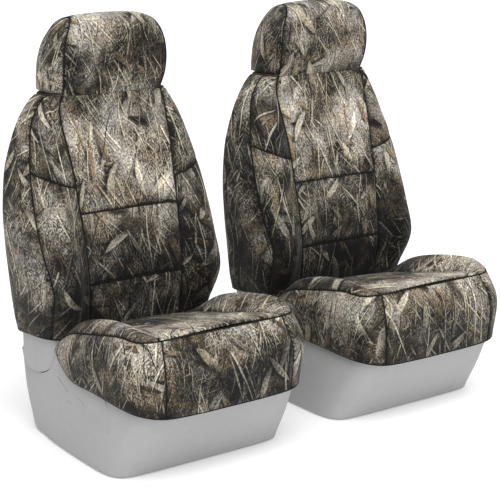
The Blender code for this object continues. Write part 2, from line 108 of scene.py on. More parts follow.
# Cushion cover spokes, from the front middle to the rear of the right side: hem, fullest
# point, top edge, bolster crown and inner seam.
CUSHION_SPOKES = np.array((
    ((0, -.436, .187), (0, -.440, .300), (0, -.403, .381), (0, -.393, .381), (0, -.384, .381)),
    ((.100, -.435, .187), (.100, -.440, .300), (.098, -.402, .381), (.096, -.390, .381), (.094, -.380, .381)),
    ((.200, -.430, .190), (.204, -.434, .300), (.192, -.400, .381), (.188, -.390, .381), (.184, -.380, .380)),
    ((.250, -.397, .198), (.263, -.399, .300), (.245, -.375, .380), (.226, -.366, .388), (.190, -.362, .378)),
    ((.266, -.330, .205), (.281, -.330, .300), (.266, -.320, .387), (.234, -.315, .402), (.176, -.315, .372)),
    ((.268, -.210, .215), (.285, -.210, .300), (.267, -.210, .368), (.225, -.210, .394), (.155, -.210, .353)),
    ((.268, -.095, .222), (.282, -.095, .290), (.262, -.095, .343), (.220, -.095, .365), (.150, -.095, .331)),
    ((.260, -.018, .262), (.270, -.018, .283), (.254, -.018, .303), (.214, -.018, .312), (.148, -.016, .311)),
))
FRONT_SEAM = 2
BOLSTER_START = 2.12
LAST_SPOKE = len(CUSHION_SPOKES) - 1
CUSHION_CROWN = 0.006

# Base form: outline on the floor, and the spokes behind the cushion.
FLOOR_OUTLINE = (
    (0, -.318), (.120, -.318), (.230, -.312), (.266, -.286), (.276, -.232), (.270, -.130),
    (.262, -.040), (.254, .030), (.242, .100), (.224, .180), (.176, .232), (0, .240),
)
REAR_SPOKES = np.array((
    ((.258, .110, .240), (.260, .110, .270), (.255, .110, .300), (.205, .110, .305), (.150, .110, .305)),
    ((.246, .205, .205), (.248, .208, .228), (.243, .208, .242), (.205, .205, .245), (.150, .200, .245)),
    ((.200, .246, .205), (.202, .250, .228), (.198, .247, .242), (.185, .236, .245), (.140, .228, .245)),
    ((0, .247, .205), (0, .251, .228), (0, .247, .242), (0, .240, .245), (0, .232, .245)),
))

# ---------------------------------------------------------------- how the covers are padded

SEAM_HEIGHT = 0.0005                         # of the cloth's face over the surface, at a seam
PAD_HEIGHT = 0.0045                          # a roll's width away from it
PAD_ROLL = 0.0065                            # radius of the rounded edge along a seam
PAD_CROWN = 0.0030                           # more, in the middle of a panel
CROWN_REACH = 0.045
PUCKER_DEPTH = 0.0011
PUCKER_REACH = 0.022
SOFTNESS = 0.0012
SEAM_SHADE = 0.16                            # painted shade: the print is this much darker along a seam
SEAM_SHADE_REACH = 0.010
PIPING_RADIUS = 0.0021
PIPING_LIFT = 0.0018
HEM_RADIUS = 0.0026
HEM_LIFT = 0.0040
CREASE_RADIUS = 0.0045
CREASE_LIFT = -0.0020
CLOTH_BACK = 0.0010                          # of a panel's inner face under the surface
PANEL_BLEND = 0.0035                         # rounds the pad where two seams meet
GRID_STEP = 0.0060                           # length of a panel's mesh cells

# ---------------------------------------------------------------- splines and surfaces


def spline(points, t):
    """Catmull-Rom through points[0], points[1] ... at each t, straight on past the ends.

    points is (count, 3), or (count, *t.shape, 3) where the points differ from place to place.
    """
    t = np.asarray(t, float)
    points = np.asarray(points, float)
    last = len(points) - 1
    if points.ndim == 2:
        points = points.reshape((last + 1,) + (1,) * t.ndim + (points.shape[-1],))
    points = np.broadcast_to(points, (last + 1,) + t.shape + (points.shape[-1],))
    cell = np.clip(np.floor(t).astype(int), 0, last - 1)

    def pick(step):
        index = np.clip(cell + step, 0, last)[None, ..., None]
        return np.take_along_axis(points, np.broadcast_to(index, (1,) + points.shape[1:]), 0)[0]

    b, c = pick(0), pick(1)
    a = np.where((cell > 0)[..., None], pick(-1), 2 * b - c)
    d = np.where((cell + 2 <= last)[..., None], pick(2), 2 * c - b)
    s = (t - cell)[..., None]
    inner = (2 * b + (c - a) * s + (2 * a - 5 * b + 4 * c - d) * s ** 2
             + (3 * b - a - 3 * c + d) * s ** 3) / 2
    inner = np.where(s < 0, b + s * (c - a) / 2, inner)
    return np.where(s > 1, c + (s - 1) * (d - b) / 2, inner)


def back_surface(u, v):
    """Back cover; u goes round the section, v counts the rows upwards."""
    u, v = np.broadcast_arrays(np.asarray(u, float), np.asarray(v, float))
    rows = []
    for height, *half in BACK_ROWS:
        right = [(x, y, height) for x, y in half]
        ring = np.array(right + [(-x, y, z) for x, y, z in right[-2:0:-1]])
        cell = np.floor(u).astype(int)
        near = np.stack([ring[(cell + step) % RING] for step in (-1, 0, 1, 2)])
        rows.append(spline(near, 1 + u - cell))
    point = spline(np.stack(rows), np.maximum(v, 0))
    point[..., 2] += np.minimum(v, 0) * (BACK_ROWS[1][0] - BACK_ROWS[0][0])
    return point


def band_surface(s, t):
    """Headrest band; s runs -1 to 1 across it and t along it from the front to the rear."""
    s, t = np.broadcast_arrays(np.asarray(s, float), np.asarray(t, float))
    here = spline(HEADREST_BAND, t)
    ahead = spline(HEADREST_BAND, t + 0.05) - here
    out = np.stack([0 * s, -ahead[..., 1], ahead[..., 0]], -1)
    out /= np.linalg.norm(out, axis=-1, keepdims=True)
    point = np.stack([s * here[..., 2], here[..., 0], here[..., 1]], -1)
    crown = BAND_CROWN * np.clip(np.minimum(t, BAND_END - t) / CROWN_START, 0, 1)
    return point + out * (crown * (1 - s * s))[..., None]


def headrest_gusset_surface(side, r, t):
    """Headrest side; r runs 0 to 1 from the front seam to the rear seam."""
    r, t = np.broadcast_arrays(np.asarray(r, float), np.asarray(t, float))
    front = band_surface(side + 0 * r, t)
    rear = band_surface(side + 0 * r, 2 * BAND_TOP - t)
    point = front + (rear - front) * r[..., None]
    point[..., 0] += side * GUSSET_BULGE * np.sin(math.pi * r) * (1 - (t / BAND_TOP) ** 2)
    return point


def edge_point(level, k):
    """One level of the cushion's edge; k counts the spokes, negative on the left side."""
    k = np.asarray(k, float)
    right = CUSHION_SPOKES[:, level]
    mirror = right[1:2] * (-1, 1, 1)
    point = spline(np.concatenate([mirror, right]), np.abs(k) + 1)
    point[..., 0] *= np.where(k < 0, -1, 1)
    return point


def skirt_surface(k, s):
    """Front and sides of the cushion cover, from the hem at s = 0 to the top edge at s = 2."""
    k, s = np.broadcast_arrays(np.asarray(k, float), np.asarray(s, float))
    return spline(np.stack([edge_point(level, k) for level in (0, 1, 2)]), s)


def bolster_surface(k, r):
    """Top of the cushion's edge, from the top edge at r = 0 to the inner seam at r = 2."""
    k, r = np.broadcast_arrays(np.asarray(k, float), np.asarray(r, float))
    return spline(np.stack([edge_point(level, k) for level in (2, 3, 4)]), r)


def centre_surface(w, k):
    """Middle of the cushion; w runs -1 to 1 across it."""
    w, k = np.broadcast_arrays(np.asarray(w, float), np.asarray(k, float))
    front = edge_point(2, FRONT_SEAM)
    inner = edge_point(4, np.maximum(k, FRONT_SEAM))
    near = np.clip(k - FRONT_SEAM + 1, 0, 1)[..., None]
    right = front + (inner - front) * near
    return np.stack([right[..., 0] * w, right[..., 1], right[..., 2] + CUSHION_CROWN * (1 - w * w)], -1)


def diagonal(u):
    """Row of the seam between the upper and the lower bolster."""
    across = (np.abs(np.where(u < 6, u, RING - u)) - 1) / 2
    return DIAGONAL_SEAM[0] + (DIAGONAL_SEAM[1] - DIAGONAL_SEAM[0]) * across


# ---------------------------------------------------------------- meshes


def normals_of(points, inside):
    """Unit normals of a grid of points, pointing away from inside."""
    along = np.gradient(points, axis=1)
    up = np.gradient(points, axis=0)
    normal = np.cross(along, up)
    normal /= np.maximum(np.linalg.norm(normal, axis=-1, keepdims=True), 1e-9)
    facing = np.sum(normal * (points - np.asarray(inside)))
    return (normal, 1) if facing > 0 else (-normal, -1)


def arc_lengths(points, axis):
    """Length along each grid line from its start."""
    steps = np.linalg.norm(np.diff(points, axis=axis), axis=-1)
    start = np.zeros_like(np.take(steps, [0], axis))
    return np.concatenate([start, np.cumsum(steps, axis)], axis)


def noise_field(points, scale, seed):
    """Smooth noise, -1 to 1, at each point."""
    flat = points.reshape(-1, 3) * scale + seed
    values = [noise.noise(Vector(p)) for p in flat]
    return np.array(values).reshape(points.shape[:-1])


def grid_mesh(name, outer, inner, turn, print_uv, painted_shading):
    """A closed mesh between two grids of points, with the print's UVs in metres."""
    rows, cols = outer.shape[:2]
    count = rows * cols
    index = np.arange(count).reshape(rows, cols)
    faces = []
    face = np.stack([index[:-1, :-1], index[:-1, 1:], index[1:, 1:], index[1:, :-1]], -1)
    face = face.reshape(-1, 4)
    faces.append(face if turn > 0 else face[:, ::-1])
    faces.append((face[:, ::-1] if turn > 0 else face) + count)
    border = np.concatenate([index[0, :-1], index[:-1, -1], index[-1, :0:-1], index[:0:-1, 0]])
    following = np.roll(border, -1)
    rim = np.stack([following, border, border + count, following + count], -1)
    faces.append(rim if turn > 0 else rim[:, ::-1])
    faces = np.concatenate(faces)
    mesh = bpy.data.meshes.new(name)
    verts = np.concatenate([outer.reshape(-1, 3), inner.reshape(-1, 3)])
    mesh.from_pydata(verts.tolist(), [], faces.tolist())
    uv = mesh.uv_layers.new(name="print")
    corners = np.zeros(len(mesh.loops), dtype=int)
    mesh.loops.foreach_get("vertex_index", corners)
    flat_uv = np.concatenate([print_uv.reshape(-1, 2)] * 2)
    uv.data.foreach_set("uv", flat_uv[corners].ravel())
    # painted light and shade on the print, one value to each point
    attribute = mesh.attributes.new("painted_shading", "FLOAT", "POINT")
    attribute.data.foreach_set("value", np.concatenate([painted_shading.ravel()] * 2))
    mesh.shade_smooth()
    return mesh


def spaced(start, end, length):
    """Evenly spaced values from start to end, one for each mesh cell of the length."""
    cells = max(6, int(round(length / GRID_STEP)))
    return np.linspace(start, end, cells + 1)


def padded_mesh(name, surface, u_ends, v_ends, inside, painted_shading, crown=1.0, open_edges=(), zip_slit=None):
    """A padded panel over the patch of a surface between u_ends and v_ends.

    A v end may be a function of u. The shading function gives painted light and shade at each
    point, which lightens or darkens the print. open_edges names the borders that aren't sewn to
    another panel: "low" or "high" in v. zip_slit is the half width and top of a zipper's
    opening in the middle of the panel.
    """
    v_low, v_high = [end if callable(end) else (lambda u, end=end: end + 0 * u) for end in v_ends]
    middle_u = np.linspace(*u_ends, 40)
    middle_v = (v_low(middle_u) + v_high(middle_u)) / 2
    width = arc_lengths(surface(middle_u, middle_v)[None], 1)[0, -1]
    ramp = np.linspace(0, 1, 40)
    half_u = np.full(40, sum(u_ends) / 2)
    half_v = v_low(half_u) + ramp * (v_high(half_u) - v_low(half_u))
    height = arc_lengths(surface(half_u, half_v)[None], 1)[0, -1]
    u = spaced(*u_ends, width)[None, :]
    w = spaced(0, 1, height)[:, None]
    u, w = np.broadcast_arrays(u, w)
    base = surface(u, v_low(u) + w * (v_high(u) - v_low(u)))
    normal, turn = normals_of(base, inside)

    across = arc_lengths(base, 1)
    up = arc_lengths(base, 0)
    from_edges = [across, across[:, -1:] - across]
    if "low" not in open_edges:
        from_edges.append(up)
    if "high" not in open_edges:
        from_edges.append(up[-1:] - up)
    if zip_slit:
        half_width, top = zip_slit
        from_edges.append(np.hypot(base[..., 0], np.maximum(base[..., 2] - top, 0)) - half_width)
    sharp = 1 / PANEL_BLEND
    near = -np.log(sum(np.exp(-sharp * d) for d in from_edges)) / sharp
    near = np.maximum(near, 0)

    seed = (len(name) * 3.1, sum(map(ord, name)) * 0.37, 1.7)
    roll = np.sqrt(np.clip(1 - (1 - np.minimum(near / PAD_ROLL, 1)) ** 2, 0, 1))
    lift = SEAM_HEIGHT + (PAD_HEIGHT - SEAM_HEIGHT) * roll
    lift += crown * PAD_CROWN * (1 - np.exp(-near / CROWN_REACH))
    pucker = noise_field(base, 55.0, seed) * PUCKER_DEPTH * np.exp(-near / PUCKER_REACH) * roll
    soft = noise_field(base, 11.0, seed) * SOFTNESS * (1 - np.exp(-near / 0.03))
    lift += pucker + soft

    outer = base + normal * lift[..., None]
    inner = base - normal * CLOTH_BACK
    start = np.array(((seed[0] * 0.7) % 3, (seed[1] * 1.3) % 3))
    middle = across[:, across.shape[1] // 2][:, None]
    print_uv = np.stack([across - middle, up], -1) + start
    # painted light and shade on the print, and painted shade along each seam
    shade = painted_shading(base) - SEAM_SHADE * np.exp(-near / SEAM_SHADE_REACH)
    return grid_mesh(name, outer, inner, turn, print_uv, shade)


def tube_mesh(name, points, normals, radius, sides=8):
    """A closed round tube along points, with flat ends."""
    points = np.asarray(points)
    tangent = np.gradient(points, axis=0)
    tangent /= np.linalg.norm(tangent, axis=-1, keepdims=True)
    side = np.cross(tangent, normals)
    side /= np.linalg.norm(side, axis=-1, keepdims=True)
    up = np.cross(side, tangent)
    angles = np.arange(sides) * 2 * math.pi / sides
    rings = (points[:, None] + radius * (np.cos(angles)[None, :, None] * side[:, None]
                                         + np.sin(angles)[None, :, None] * up[:, None]))
    count = len(points)
    faces = []
    for i in range(count - 1):
        for j in range(sides):
            a, b = i * sides + j, i * sides + (j + 1) % sides
            faces.append((a, b, b + sides, a + sides))
    faces.append(tuple(range(sides))[::-1])
    faces.append(tuple((count - 1) * sides + j for j in range(sides)))
    mesh = bpy.data.meshes.new(name)
    mesh.from_pydata(rings.reshape(-1, 3).tolist(), [], faces)
    mesh.validate()
    mesh.shade_smooth()
    return mesh


def seam_line(surface, u, v, inside, lift, steps=60):
    """Points and normals along a line on a surface; u and v are pairs of ends or functions."""
    ramp = np.linspace(0, 1, steps)
    us = u[0] + (u[1] - u[0]) * ramp if not callable(u) else u(ramp)
    vs = v(us) if callable(v) else v[0] + (v[1] - v[0]) * ramp
    small = 0.02
    here = surface(us, vs)
    normal = np.cross(surface(us + small, vs) - surface(us - small, vs),
                      surface(us, vs + small) - surface(us, vs - small))
    normal /= np.maximum(np.linalg.norm(normal, axis=-1, keepdims=True), 1e-9)
    flip = np.sign(np.sum(normal * (here - np.asarray(inside)), -1, keepdims=True))
    normal *= np.where(flip == 0, 1, flip)
    return here + normal * lift, normal


def joined(name, meshes):
    """One mesh of several."""
    bm = bmesh.new()
    for mesh in meshes:
        bm.from_mesh(mesh)
        bpy.data.meshes.remove(mesh)
    mesh = bpy.data.meshes.new(name)
    bm.to_mesh(mesh)
    bm.free()
    mesh.shade_smooth()
    return mesh


# ---------------------------------------------------------------- node graphs


class Graph:
    """Short calls for building a node tree."""

    def __init__(self, tree):
        self.tree = tree

    def node(self, kind, *inputs, out=0, **settings):
        node = self.tree.nodes.new(kind)
        for key, value in settings.items():
            setattr(node, key, value)
        for slot, value in enumerate(inputs):
            self.connect(node.inputs[slot], value)
        return node.outputs[out]

    def connect(self, socket, value):
        if value is None:
            return
        if isinstance(value, bpy.types.NodeSocket):
            self.tree.links.new(value, socket)
        elif isinstance(value, tuple) and len(value) == 3 and socket.type == "RGBA":
            socket.default_value = (*value, 1)
        else:
            socket.default_value = value

    def math(self, operation, a, b=None, c=None):
        return self.node("ShaderNodeMath", a, b, c, operation=operation)

    def vector(self, operation, a, b=None):
        if operation == "SCALE":
            node = self.tree.nodes.new("ShaderNodeVectorMath")
            node.operation = "SCALE"
            self.connect(node.inputs[0], a)
            self.connect(node.inputs["Scale"], b)
            return node.outputs[0]
        return self.node("ShaderNodeVectorMath", a, b, operation=operation)

    def mix(self, factor, a, b, blend="MIX"):
        node = self.tree.nodes.new("ShaderNodeMix")
        node.data_type = "RGBA"
        node.blend_type = blend
        self.connect(node.inputs["Factor"], factor)
        self.connect(node.inputs[6], a)
        self.connect(node.inputs[7], b)
        return node.outputs[2]

    def ramp(self, value, stops):
        node = self.tree.nodes.new("ShaderNodeValToRGB")
        elements = node.color_ramp.elements
        while len(elements) < len(stops):
            elements.new(0.5)
        for element, (place, colour) in zip(elements, stops):
            element.position = place
            element.color = (*colour, 1)
        self.connect(node.inputs[0], value)
        return node.outputs[0]

    def noise(self, vector, scale, detail=3.0, roughness=0.55, out=0):
        node = self.tree.nodes.new("ShaderNodeTexNoise")
        self.connect(node.inputs["Vector"], vector)
        node.inputs["Scale"].default_value = scale
        node.inputs["Detail"].default_value = detail
        node.inputs["Roughness"].default_value = roughness
        return node.outputs[out]

    def smoothstep(self, value, low, high):
        node = self.tree.nodes.new("ShaderNodeMapRange")
        node.interpolation_type = "SMOOTHSTEP"
        self.connect(node.inputs[0], value)
        self.connect(node.inputs[1], low)
        self.connect(node.inputs[2], high)
        return node.outputs[0]

    def tinted(self, colour, value):
        """colour times a plain value."""
        return self.mix(1.0, colour, self.node("ShaderNodeCombineColor", value, value, value), "MULTIPLY")

    def scaled(self, vector, x, y):
        return self.node("ShaderNodeVectorMath", vector, (x, y, 0.0), operation="MULTIPLY")

    def turned(self, vector, angle):
        node = self.tree.nodes.new("ShaderNodeVectorRotate")
        node.rotation_type = "Z_AXIS"
        self.connect(node.inputs["Vector"], vector)
        self.connect(node.inputs["Angle"], angle)
        return node.outputs[0]

    def split(self, vector):
        node = self.tree.nodes.new("ShaderNodeSeparateXYZ")
        self.connect(node.inputs[0], vector)
        return node.outputs


def srgb(*values):
    """Linear colour of three sRGB values out of 255."""
    return tuple((v / 255 / 12.92) if v / 255 <= 0.04045 else ((v / 255 + 0.055) / 1.055) ** 2.4
                 for v in values)


SOOT = srgb(22, 19, 16)
BARK = srgb(48, 41, 33)
MUD = srgb(82, 75, 65)
TAUPE = srgb(124, 117, 107)
ASH = srgb(158, 153, 145)
BEIGE = srgb(186, 178, 163)
STRAW = srgb(200, 190, 166)
CREAM = srgb(224, 217, 200)
TAN = srgb(150, 130, 102)
RUST = srgb(100, 80, 60)
SLATE = srgb(104, 104, 104)
MIDDLE_GREY = 0.125
CONTRAST = 0.62

DRY = ((0.0, MUD), (0.3, TAN), (0.6, STRAW), (1.0, BEIGE))
PALE = ((0.0, TAUPE), (0.3, BEIGE), (0.65, STRAW), (1.0, CREAM))
BROWN = ((0.0, BARK), (0.35, RUST), (0.65, TAN), (1.0, TAUPE))
DARK = ((0.0, SOOT), (0.6, BARK), (1.0, MUD))


def add_blades(g, place, colour, light, angle, cell, half_width, density, palette, offset,
               tilt=0.25, bend=0.6, shade=0.7, rib=0.0, gate=None):
    """Lays pointed reed blades over colour, one to each cell, and returns the new colour.

    angle is how far the layer leans, cell the width and length of the ground each blade has,
    and light the brightness of the ground, which the blades partly share.
    """
    moved = g.turned(g.vector("ADD", place, (offset, offset * 0.61, 0.0)), angle)
    cells = g.scaled(moved, 1 / cell[0], 1 / cell[1])
    voronoi = g.tree.nodes.new("ShaderNodeTexVoronoi")
    voronoi.voronoi_dimensions = "2D"
    g.connect(voronoi.inputs["Vector"], cells)
    voronoi.inputs["Scale"].default_value = 1.0
    voronoi.inputs["Randomness"].default_value = 0.8
    chance = g.split(voronoi.outputs["Color"])
    local = g.vector("SUBTRACT", cells, voronoi.outputs["Position"])
    x, y, _ = g.split(g.scaled(local, *cell))
    half_length = g.math("MULTIPLY", g.math("MULTIPLY_ADD", chance[1], 0.35, 0.65), cell[1] * 0.52)
    along = g.math("DIVIDE", y, half_length)
    square = g.math("MULTIPLY", along, along)
    lean = g.math("MULTIPLY", g.math("MULTIPLY_ADD", chance[0], 2.0, -1.0), tilt)
    curve = g.math("MULTIPLY", g.math("MULTIPLY_ADD", chance[2], 2.0, -1.0), bend * cell[0] * 0.3)
    x = g.math("SUBTRACT", x, g.math("MULTIPLY", lean, y))
    x = g.math("SUBTRACT", x, g.math("MULTIPLY", curve, square))
    width = g.math("MULTIPLY_ADD", chance[1], half_width * 0.9, half_width * 0.55)
    across = g.math("DIVIDE", x, width)
    taper = g.math("SUBTRACT", 1.0, square)
    edge = g.math("SUBTRACT", taper, g.math("ABSOLUTE", across))
    pick = g.math("FRACT", g.math("MULTIPLY", chance[2], 5.37))
    chosen = g.math("LESS_THAN", pick, density)
    if gate is not None:
        chosen = g.math("MULTIPLY", chosen, gate)
    mask = g.math("MULTIPLY", g.smoothstep(edge, 0.0, 0.25), chosen)
    if shade:
        # a soft shadow beside and under the blade
        beside = g.math("ABSOLUTE", g.math("ADD", across, 0.8))
        fall = g.math("SUBTRACT", g.math("ADD", taper, 0.5), beside)
        dark = g.math("MULTIPLY", g.math("MULTIPLY", g.smoothstep(fall, 0.0, 1.1), chosen), shade)
        colour = g.mix(dark, colour, SOOT)
    tint = g.ramp(g.math("FRACT", g.math("MULTIPLY", chance[0], 7.31)), palette)
    fibre = g.noise(g.scaled(moved, 1100.0, 45.0), 1.0, 2.0)
    value = g.math("MULTIPLY_ADD", across, 0.22, 0.80)
    value = g.math("MULTIPLY", value, g.math("MULTIPLY_ADD", fibre, 0.7, 0.65))
    if rib:
        ridge = g.smoothstep(g.math("ABSOLUTE", across), 0.0, 0.20)
        value = g.math("MULTIPLY", value, g.math("MULTIPLY_ADD", ridge, rib, 1 - rib))
    value = g.math("MULTIPLY", value, light)
    return g.mix(mask, colour, g.tinted(tint, value))


def make_camo(name):
    """Printed cloth: dry reeds and grass over mottled ground, on a fine plain weave."""
    material = bpy.data.materials.new(name)
    material.use_nodes = True
    tree = material.node_tree
    g = Graph(tree)
    uv = tree.nodes.new("ShaderNodeUVMap")
    uv.uv_map = "print"
    cloth = uv.outputs[0]
    # painted light and shade of the panel, read from the mesh
    painted_shading_node = tree.nodes.new("ShaderNodeAttribute")
    painted_shading_node.attribute_name = "painted_shading"
    painted_shading = painted_shading_node.outputs["Fac"]
    drift = g.vector("SUBTRACT", g.noise(cloth, 4.0, 1.0, out=1), (0.5, 0.5, 0.5))
    place = g.vector("ADD", cloth, g.vector("SCALE", drift, 0.05))

    # ground: broad light and dark patches, dusty or littered
    broad = g.noise(place, 5.0, 2.0, 0.5)
    patchy = g.noise(g.scaled(place, 1.0, 0.6), 19.0, 4.0, 0.6)
    level = g.math("MULTIPLY_ADD", g.math("SUBTRACT", broad, 0.5), 2.2, 0.44)
    level = g.math("ADD", level, g.math("MULTIPLY", g.math("SUBTRACT", patchy, 0.5), 1.3))
    # painted light and shade make the ground lighter or darker
    level = g.math("ADD", level, painted_shading)
    colour = g.ramp(level, ((0.0, SOOT), (0.18, BARK), (0.36, MUD), (0.54, TAUPE), (0.74, ASH),
                            (1.0, BEIGE)))
    hue = g.noise(place, 9.0, 2.0)
    colour = g.mix(g.math("MULTIPLY", g.smoothstep(hue, 0.50, 0.72), 0.55), colour, TAN)
    colour = g.mix(g.math("MULTIPLY", g.smoothstep(hue, 0.46, 0.30), 0.45), colour, SLATE)
    litter = g.smoothstep(g.noise(g.vector("ADD", place, (5.0, 2.0, 0.0)), 8.0, 2.0), 0.36, 0.62)
    light = g.math("MAXIMUM", g.math("MULTIPLY_ADD", level, 0.95, 0.38), 0.3)

    # fine speckle, stronger in the litter
    speck = g.noise(g.scaled(place, 1.0, 0.75), 250.0, 2.0, 0.8)
    amount = g.math("MULTIPLY_ADD", litter, 4.6, 2.2)
    gain = g.math("MULTIPLY_ADD", g.math("SUBTRACT", speck, 0.5), amount, 1.0)
    colour = g.tinted(colour, g.math("MAXIMUM", gain, 0.12))

    # streaks of grass
    for angle, offset, across, along in ((0.35, 3.0, 420.0, 42.0), (-0.5, 8.0, 520.0, 55.0),
                                         (1.2, 13.0, 460.0, 60.0)):
        turned = g.turned(g.vector("ADD", place, (offset, 0.0, 0.0)), angle)
        streak = g.noise(g.scaled(turned, across, along), 1.0, 2.0, 0.6)
        where = g.math("MULTIPLY", g.smoothstep(g.noise(turned, 11.0, 1.0), 0.45, 0.60), litter)
        colour = g.mix(g.math("MULTIPLY", g.smoothstep(streak, 0.48, 0.36), where), colour, SOOT)
        pale = g.math("MULTIPLY", g.smoothstep(streak, 0.55, 0.68), where)
        colour = g.mix(pale, colour, g.tinted(STRAW, light))

    # dark gaps in the litter
    gap = g.noise(g.scaled(place, 1.0, 0.55), 48.0, 4.0, 0.65)
    gap = g.math("MULTIPLY", g.smoothstep(gap, 0.47, 0.37), litter)
    colour = g.mix(g.math("MULTIPLY", gap, 0.85), colour, SOOT)

    def zone(offset, low, high):
        return g.smoothstep(g.noise(g.vector("ADD", place, (offset, 7.0, 0.0)), 8.0, 1.0), low, high)

    cluster, sheaf, thicket = zone(1.0, 0.45, 0.54), zone(4.0, 0.42, 0.50), zone(9.0, 0.42, 0.50)
    layers = (
        # lean, cell, half width, density, palette, offset, settings
        (0.60, (0.009, 0.050), 0.0007, 0.60, DARK, 3.1, {"shade": 0, "tilt": 0.35}),
        (-0.50, (0.009, 0.050), 0.0008, 0.60, DARK, 5.3, {"shade": 0, "tilt": 0.35}),
        (0.30, (0.010, 0.045), 0.0011, 0.60, DRY, 7.7, {"tilt": 0.35, "gate": litter}),
        (-0.35, (0.011, 0.055), 0.0013, 0.60, PALE, 12.9, {"tilt": 0.35, "gate": litter}),
        (1.15, (0.013, 0.055), 0.0012, 0.50, DRY, 17.3, {"tilt": 0.35, "gate": litter}),
        (-1.20, (0.050, 0.100), 0.0080, 0.60, BROWN, 21.9, {"rib": 0.3, "gate": cluster, "tilt": 0.5}),
        (0.10, (0.020, 0.120), 0.0024, 0.55, DRY, 26.1, {"gate": sheaf}),
        (-0.62, (0.022, 0.130), 0.0026, 0.50, PALE, 31.7, {"gate": thicket}),
        (0.65, (0.060, 0.120), 0.0100, 0.50, PALE, 36.5, {"rib": 0.25, "gate": cluster, "tilt": 0.5}),
        (-0.45, (0.060, 0.130), 0.0100, 0.50, DRY, 41.3, {"rib": 0.25, "gate": cluster, "tilt": 0.4}),
        (0.50, (0.036, 0.190), 0.0011, 0.50, DARK, 47.9, {"shade": 0, "tilt": 0.15}),
        (0.04, (0.036, 0.240), 0.0018, 0.45, PALE, 53.3, {"tilt": 0.10}),
        (-0.42, (0.044, 0.280), 0.0024, 0.45, PALE, 59.7, {"tilt": 0.10, "gate": sheaf}),
    )
    for lean, cell, half_width, density, palette, offset, settings in layers:
        colour = add_blades(g, place, colour, light, lean, cell, half_width, density, palette,
                            offset, **settings)

    # the whole print again follows the painted light and shade
    colour = g.tinted(colour, g.math("MAXIMUM", g.math("MULTIPLY_ADD", painted_shading, 1.5, 1.0), 0.12))

    # coarse grit, then more contrast about the middle grey
    grit = g.noise(g.scaled(place, 1.0, 0.8), 190.0, 1.0, 0.6)
    colour = g.tinted(colour, g.math("MULTIPLY_ADD", g.math("SUBTRACT", grit, 0.5), 2.6, 1.0))
    ratio = g.math("DIVIDE", g.node("ShaderNodeRGBToBW", colour), MIDDLE_GREY)
    gain = g.math("MINIMUM", g.math("POWER", g.math("MAXIMUM", ratio, 0.01), CONTRAST), 1.12)
    colour = g.tinted(colour, gain)

    weave_x = g.math("SINE", g.math("MULTIPLY", g.split(cloth)[0], 2 * math.pi / 0.0011))
    weave_y = g.math("SINE", g.math("MULTIPLY", g.split(cloth)[1], 2 * math.pi / 0.0011))
    weave = g.math("MULTIPLY", weave_x, weave_y)
    slub = g.noise(cloth, 160.0, 3.0, 0.7)
    height = g.math("ADD", g.math("MULTIPLY", weave, 0.25), slub)
    bump = tree.nodes.new("ShaderNodeBump")
    bump.inputs["Strength"].default_value = 0.22
    bump.inputs["Distance"].default_value = 0.0006
    tree.links.new(height, bump.inputs["Height"])
    shader = tree.nodes["Principled BSDF"]
    tree.links.new(colour, shader.inputs["Base Color"])
    tree.links.new(bump.outputs[0], shader.inputs["Normal"])
    tree.links.new(g.math("MULTIPLY_ADD", slub, 0.16, 0.74), shader.inputs["Roughness"])
    shader.inputs["Specular IOR Level"].default_value = 0.28
    shader.inputs["Sheen Weight"].default_value = 0.06
    return material


def make_plain(name, colours, roughness, metallic=0.0, scale=40.0, specular=0.5):
    """A plain surface with grain: two close colours mixed by noise, and a fine bump."""
    material = bpy.data.materials.new(name)
    material.use_nodes = True
    tree = material.node_tree
    g = Graph(tree)
    place = tree.nodes.new("ShaderNodeTexCoord").outputs["Object"]
    grain = g.noise(place, scale, 4.0, 0.6)
    cloud = g.noise(place, scale * 0.08, 2.0)
    mix = g.math("MULTIPLY", g.math("ADD", grain, cloud), 0.5)
    shader = tree.nodes["Principled BSDF"]
    tree.links.new(g.mix(g.smoothstep(mix, 0.3, 0.7), *colours), shader.inputs["Base Color"])
    tree.links.new(g.math("MULTIPLY_ADD", grain, 0.16, roughness - 0.08), shader.inputs["Roughness"])
    shader.inputs["Metallic"].default_value = metallic
    shader.inputs["Specular IOR Level"].default_value = specular
    bump = tree.nodes.new("ShaderNodeBump")
    bump.inputs["Strength"].default_value = 0.3
    bump.inputs["Distance"].default_value = 0.0003
    tree.links.new(g.noise(place, scale * 12, 3.0), bump.inputs["Height"])
    tree.links.new(bump.outputs[0], shader.inputs["Normal"])
    return material


MATERIALS = {
    "camo": make_camo("camo_cloth"),
    "form": make_plain("form_shell", (srgb(166, 166, 166), srgb(173, 173, 173)), 0.7, specular=0.3),
    "piping": make_plain("black_piping", (srgb(16, 15, 14), srgb(30, 28, 26)), 0.75, scale=300.0,
                         specular=0.2),
    # painted shade: the dark colour of the neck crease stands in for the shade in its fold
    "crease_shade": make_plain("crease_painted_shade", (srgb(46, 40, 33), srgb(84, 76, 64)), 0.85, scale=160.0,
                         specular=0.2),
    "elastic": make_plain("black_elastic", (srgb(18, 17, 16), srgb(34, 32, 30)), 0.85, scale=400.0,
                          specular=0.2),
    "steel": make_plain("recliner_steel", (srgb(150, 150, 152), srgb(172, 172, 174)), 0.38, 1.0),
    "zinc": make_plain("zipper_metal", (srgb(62, 62, 64), srgb(92, 92, 94)), 0.36, 1.0, scale=120.0),
    "nylon": make_plain("zipper_nylon", (srgb(22, 22, 22), srgb(38, 38, 38)), 0.5, scale=500.0),
}


# ---------------------------------------------------------------- placing on both seats

RIGHT_SEAT_PRINT = (1.37, 0.83)

